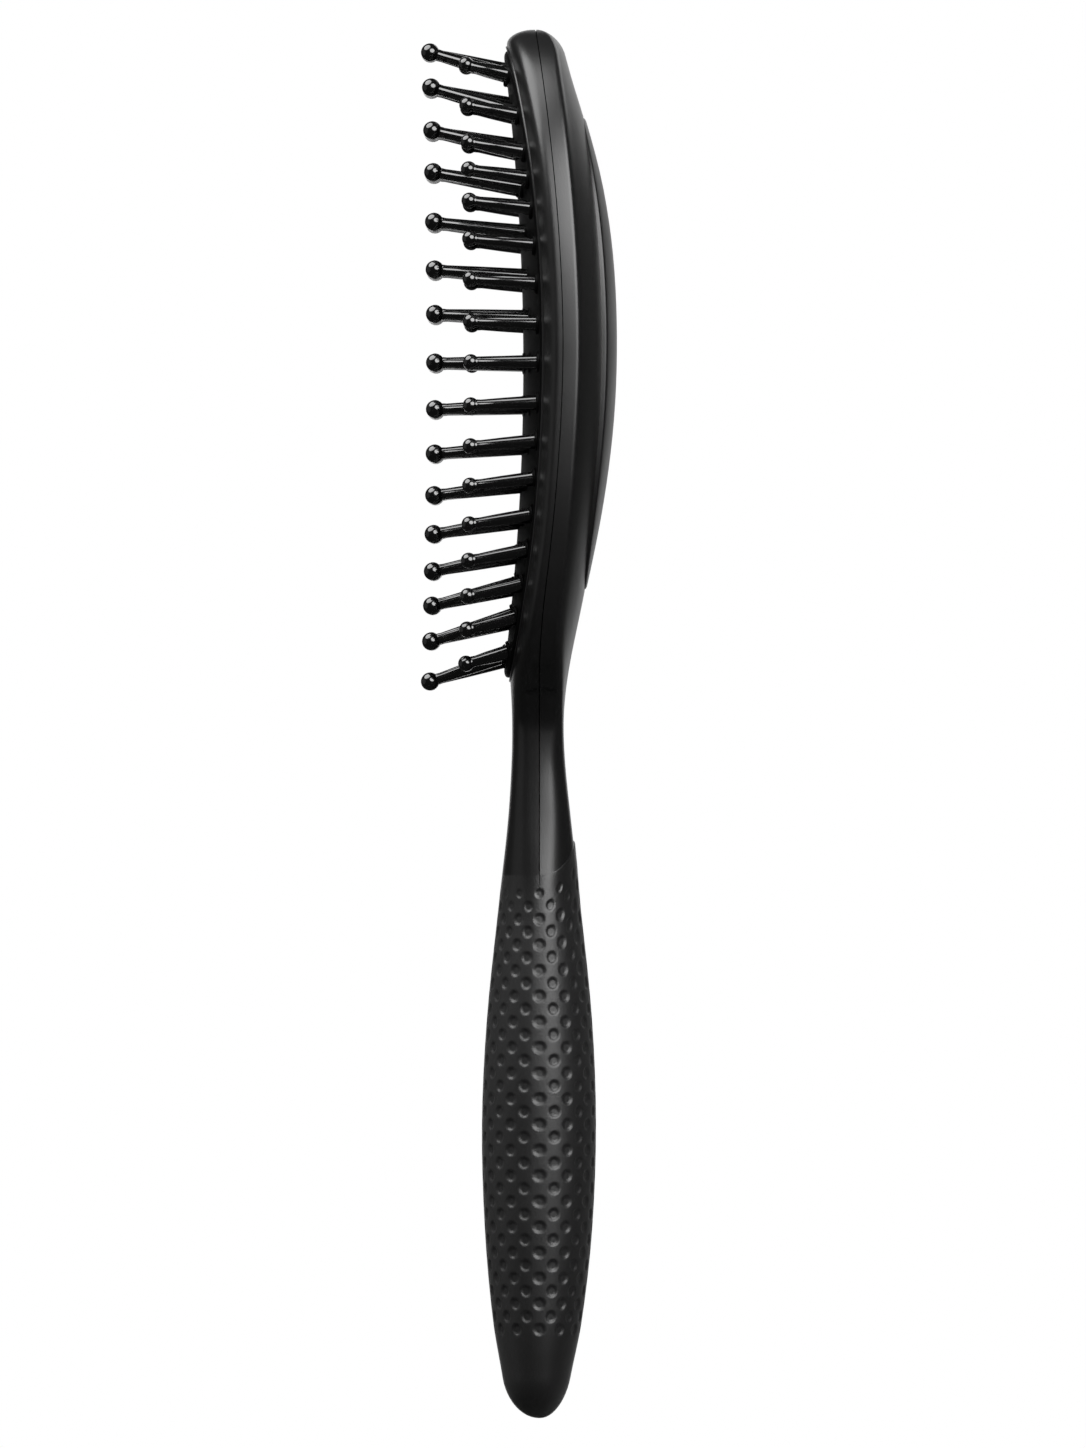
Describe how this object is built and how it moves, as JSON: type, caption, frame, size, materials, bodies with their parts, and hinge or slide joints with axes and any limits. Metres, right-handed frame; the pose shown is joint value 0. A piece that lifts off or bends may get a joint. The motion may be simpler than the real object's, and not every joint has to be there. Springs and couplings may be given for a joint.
{
  "type": "detangling brush",
  "caption": "Oval-headed detangling hair brush: two-shell body with soft grip, rubber cushion, and rows of long and short ball-tipped pins that rock in it.",
  "frame": {"origin": "under the middle of the brush's length and width, at the lowest point of the head's back, on which the brush lies", "axes": "+Y along the brush from the handle's tail to the tip of the head, +Z the way the pins point, +X across the brush"},
  "size_m": [0.066, 0.225, 0.0318],
  "materials": {
    "shell": "satin black moulded plastic",
    "cover": "satin black moulded plastic",
    "cushion": "matte black moulded rubber",
    "ring": "plain black plastic, not seen",
    "grip": "soft-touch black elastomer with small round dimples",
    "pin": "glossy black plastic with ball tips"
  },
  "bodies": {
    "brush_body": {"front_shell": "shell", "back_shell": "shell", "back_cover": "cover", "cushion": "cushion", "cushion_retainer": "ring", "front_grip_skin": "grip", "back_grip_skin": "grip"},
    "long_pin_row_01_body": {"long_pin_row_01": "pin"},
    "long_pin_row_02_body": {"long_pin_row_02": "pin"},
    "long_pin_row_03_body": {"long_pin_row_03": "pin"},
    "long_pin_row_04_body": {"long_pin_row_04": "pin"},
    "long_pin_row_05_body": {"long_pin_row_05": "pin"},
    "long_pin_row_06_body": {"long_pin_row_06": "pin"},
    "long_pin_row_07_body": {"long_pin_row_07": "pin"},
    "long_pin_row_08_body": {"long_pin_row_08": "pin"},
    "long_pin_row_09_body": {"long_pin_row_09": "pin"},
    "long_pin_row_10_body": {"long_pin_row_10": "pin"},
    "long_pin_row_11_body": {"long_pin_row_11": "pin"},
    "long_pin_row_12_body": {"long_pin_row_12": "pin"},
    "long_pin_row_13_body": {"long_pin_row_13": "pin"},
    "long_pin_row_14_body": {"long_pin_row_14": "pin"},
    "long_pin_row_15_body": {"long_pin_row_15": "pin"},
    "long_pin_row_16_body": {"long_pin_row_16": "pin"},
    "short_pin_pair_01_body": {"short_pin_pair_01": "pin"},
    "short_pin_pair_02_body": {"short_pin_pair_02": "pin"},
    "short_pin_pair_03_body": {"short_pin_pair_03": "pin"},
    "short_pin_pair_04_body": {"short_pin_pair_04": "pin"},
    "short_pin_pair_05_body": {"short_pin_pair_05": "pin"},
    "short_pin_pair_06_body": {"short_pin_pair_06": "pin"},
    "short_pin_pair_07_body": {"short_pin_pair_07": "pin"},
    "short_pin_pair_08_body": {"short_pin_pair_08": "pin"},
    "short_pin_pair_09_body": {"short_pin_pair_09": "pin"},
    "short_pin_pair_10_body": {"short_pin_pair_10": "pin"},
    "short_pin_pair_11_body": {"short_pin_pair_11": "pin"},
    "short_pin_pair_12_body": {"short_pin_pair_12": "pin"},
    "short_pin_pair_13_body": {"short_pin_pair_13": "pin"},
    "short_pin_pair_14_body": {"short_pin_pair_14": "pin"},
    "short_pin_pair_15_body": {"short_pin_pair_15": "pin"},
    "short_pin_pair_16_body": {"short_pin_pair_16": "pin"},
    "short_pin_pair_17_body": {"short_pin_pair_17": "pin"}
  },
  "joints": [
    {"name": "long_pin_row_01_rock", "type": "hinge", "parent": "brush_body", "child": "long_pin_row_01_body", "pos_m": [0, 0.1051, 0.01702], "axis": [1, 0, 0], "range_deg": [-6, 6], "stiffness_Nm_per_rad": 0.03},
    {"name": "long_pin_row_02_rock", "type": "hinge", "parent": "brush_body", "child": "long_pin_row_02_body", "pos_m": [0, 0.09958, 0.01625], "axis": [1, 0, 0], "range_deg": [-6, 6], "stiffness_Nm_per_rad": 0.03},
    {"name": "long_pin_row_03_rock", "type": "hinge", "parent": "brush_body", "child": "long_pin_row_03_body", "pos_m": [0, 0.09316, 0.01551], "axis": [1, 0, 0], "range_deg": [-6, 6], "stiffness_Nm_per_rad": 0.03},
    {"name": "long_pin_row_04_rock", "type": "hinge", "parent": "brush_body", "child": "long_pin_row_04_body", "pos_m": [0, 0.0869, 0.01493], "axis": [1, 0, 0], "range_deg": [-6, 6], "stiffness_Nm_per_rad": 0.03},
    {"name": "long_pin_row_05_rock", "type": "hinge", "parent": "brush_body", "child": "long_pin_row_05_body", "pos_m": [0, 0.07951, 0.01441], "axis": [1, 0, 0], "range_deg": [-6, 6], "stiffness_Nm_per_rad": 0.03},
    {"name": "long_pin_row_06_rock", "type": "hinge", "parent": "brush_body", "child": "long_pin_row_06_body", "pos_m": [0, 0.07237, 0.01405], "axis": [1, 0, 0], "range_deg": [-6, 6], "stiffness_Nm_per_rad": 0.03},
    {"name": "long_pin_row_07_rock", "type": "hinge", "parent": "brush_body", "child": "long_pin_row_07_body", "pos_m": [0, 0.06571, 0.01386], "axis": [1, 0, 0], "range_deg": [-6, 6], "stiffness_Nm_per_rad": 0.03},
    {"name": "long_pin_row_08_rock", "type": "hinge", "parent": "brush_body", "child": "long_pin_row_08_body", "pos_m": [0, 0.0584, 0.01379], "axis": [1, 0, 0], "range_deg": [-6, 6], "stiffness_Nm_per_rad": 0.03},
    {"name": "long_pin_row_09_rock", "type": "hinge", "parent": "brush_body", "child": "long_pin_row_09_body", "pos_m": [0, 0.0515, 0.01385], "axis": [1, 0, 0], "range_deg": [-6, 6], "stiffness_Nm_per_rad": 0.03},
    {"name": "long_pin_row_10_rock", "type": "hinge", "parent": "brush_body", "child": "long_pin_row_10_body", "pos_m": [0, 0.04494, 0.01403], "axis": [1, 0, 0], "range_deg": [-6, 6], "stiffness_Nm_per_rad": 0.03},
    {"name": "long_pin_row_11_rock", "type": "hinge", "parent": "brush_body", "child": "long_pin_row_11_body", "pos_m": [0, 0.03882, 0.01431], "axis": [1, 0, 0], "range_deg": [-6, 6], "stiffness_Nm_per_rad": 0.03},
    {"name": "long_pin_row_12_rock", "type": "hinge", "parent": "brush_body", "child": "long_pin_row_12_body", "pos_m": [0, 0.03312, 0.01467], "axis": [1, 0, 0], "range_deg": [-6, 6], "stiffness_Nm_per_rad": 0.03},
    {"name": "long_pin_row_13_rock", "type": "hinge", "parent": "brush_body", "child": "long_pin_row_13_body", "pos_m": [0, 0.02764, 0.01511], "axis": [1, 0, 0], "range_deg": [-6, 6], "stiffness_Nm_per_rad": 0.03},
    {"name": "long_pin_row_14_rock", "type": "hinge", "parent": "brush_body", "child": "long_pin_row_14_body", "pos_m": [0, 0.02259, 0.01561], "axis": [1, 0, 0], "range_deg": [-6, 6], "stiffness_Nm_per_rad": 0.03},
    {"name": "long_pin_row_15_rock", "type": "hinge", "parent": "brush_body", "child": "long_pin_row_15_body", "pos_m": [0, 0.01735, 0.01621], "axis": [1, 0, 0], "range_deg": [-6, 6], "stiffness_Nm_per_rad": 0.03},
    {"name": "long_pin_row_16_rock", "type": "hinge", "parent": "brush_body", "child": "long_pin_row_16_body", "pos_m": [0, 0.01125, 0.01706], "axis": [1, 0, 0], "range_deg": [-6, 6], "stiffness_Nm_per_rad": 0.03},
    {"name": "short_pin_pair_01_rock", "type": "hinge", "parent": "brush_body", "child": "short_pin_pair_01_body", "pos_m": [0, 0.1049, 0.01671], "axis": [1, 0, 0], "range_deg": [-6, 6], "stiffness_Nm_per_rad": 0.01},
    {"name": "short_pin_pair_02_rock", "type": "hinge", "parent": "brush_body", "child": "short_pin_pair_02_body", "pos_m": [0, 0.09829, 0.01521], "axis": [1, 0, 0], "range_deg": [-6, 6], "stiffness_Nm_per_rad": 0.01},
    {"name": "short_pin_pair_03_rock", "type": "hinge", "parent": "brush_body", "child": "short_pin_pair_03_body", "pos_m": [0, 0.09239, 0.01422], "axis": [1, 0, 0], "range_deg": [-6, 6], "stiffness_Nm_per_rad": 0.01},
    {"name": "short_pin_pair_04_rock", "type": "hinge", "parent": "brush_body", "child": "short_pin_pair_04_body", "pos_m": [0, 0.08811, 0.01364], "axis": [1, 0, 0], "range_deg": [-6, 6], "stiffness_Nm_per_rad": 0.01},
    {"name": "short_pin_pair_05_rock", "type": "hinge", "parent": "brush_body", "child": "short_pin_pair_05_body", "pos_m": [0, 0.08323, 0.01309], "axis": [1, 0, 0], "range_deg": [-6, 6], "stiffness_Nm_per_rad": 0.01},
    {"name": "short_pin_pair_06_rock", "type": "hinge", "parent": "brush_body", "child": "short_pin_pair_06_body", "pos_m": [0, 0.07733, 0.0126], "axis": [1, 0, 0], "range_deg": [-6, 6], "stiffness_Nm_per_rad": 0.01},
    {"name": "short_pin_pair_07_rock", "type": "hinge", "parent": "brush_body", "child": "short_pin_pair_07_body", "pos_m": [0, 0.07112, 0.01224], "axis": [1, 0, 0], "range_deg": [-6, 6], "stiffness_Nm_per_rad": 0.01},
    {"name": "short_pin_pair_08_rock", "type": "hinge", "parent": "brush_body", "child": "short_pin_pair_08_body", "pos_m": [0, 0.06461, 0.01204], "axis": [1, 0, 0], "range_deg": [-6, 6], "stiffness_Nm_per_rad": 0.01},
    {"name": "short_pin_pair_09_rock", "type": "hinge", "parent": "brush_body", "child": "short_pin_pair_09_body", "pos_m": [0, 0.0584, 0.01198], "axis": [1, 0, 0], "range_deg": [-6, 6], "stiffness_Nm_per_rad": 0.01},
    {"name": "short_pin_pair_10_rock", "type": "hinge", "parent": "brush_body", "child": "short_pin_pair_10_body", "pos_m": [0, 0.05189, 0.01204], "axis": [1, 0, 0], "range_deg": [-6, 6], "stiffness_Nm_per_rad": 0.01},
    {"name": "short_pin_pair_11_rock", "type": "hinge", "parent": "brush_body", "child": "short_pin_pair_11_body", "pos_m": [0, 0.04569, 0.01223], "axis": [1, 0, 0], "range_deg": [-6, 6], "stiffness_Nm_per_rad": 0.01},
    {"name": "short_pin_pair_12_rock", "type": "hinge", "parent": "brush_body", "child": "short_pin_pair_12_body", "pos_m": [0, 0.0397, 0.01257], "axis": [1, 0, 0], "range_deg": [-6, 6], "stiffness_Nm_per_rad": 0.01},
    {"name": "short_pin_pair_13_rock", "type": "hinge", "parent": "brush_body", "child": "short_pin_pair_13_body", "pos_m": [0, 0.0338, 0.01306], "axis": [1, 0, 0], "range_deg": [-6, 6], "stiffness_Nm_per_rad": 0.01},
    {"name": "short_pin_pair_14_rock", "type": "hinge", "parent": "brush_body", "child": "short_pin_pair_14_body", "pos_m": [0, 0.02821, 0.01367], "axis": [1, 0, 0], "range_deg": [-6, 6], "stiffness_Nm_per_rad": 0.01},
    {"name": "short_pin_pair_15_rock", "type": "hinge", "parent": "brush_body", "child": "short_pin_pair_15_body", "pos_m": [0, 0.02272, 0.01445], "axis": [1, 0, 0], "range_deg": [-6, 6], "stiffness_Nm_per_rad": 0.01},
    {"name": "short_pin_pair_16_rock", "type": "hinge", "parent": "brush_body", "child": "short_pin_pair_16_body", "pos_m": [0, 0.01743, 0.01539], "axis": [1, 0, 0], "range_deg": [-6, 6], "stiffness_Nm_per_rad": 0.01},
    {"name": "short_pin_pair_17_rock", "type": "hinge", "parent": "brush_body", "child": "short_pin_pair_17_body", "pos_m": [0, 0.01195, 0.01665], "axis": [1, 0, 0], "range_deg": [-6, 6], "stiffness_Nm_per_rad": 0.01}
  ]
}
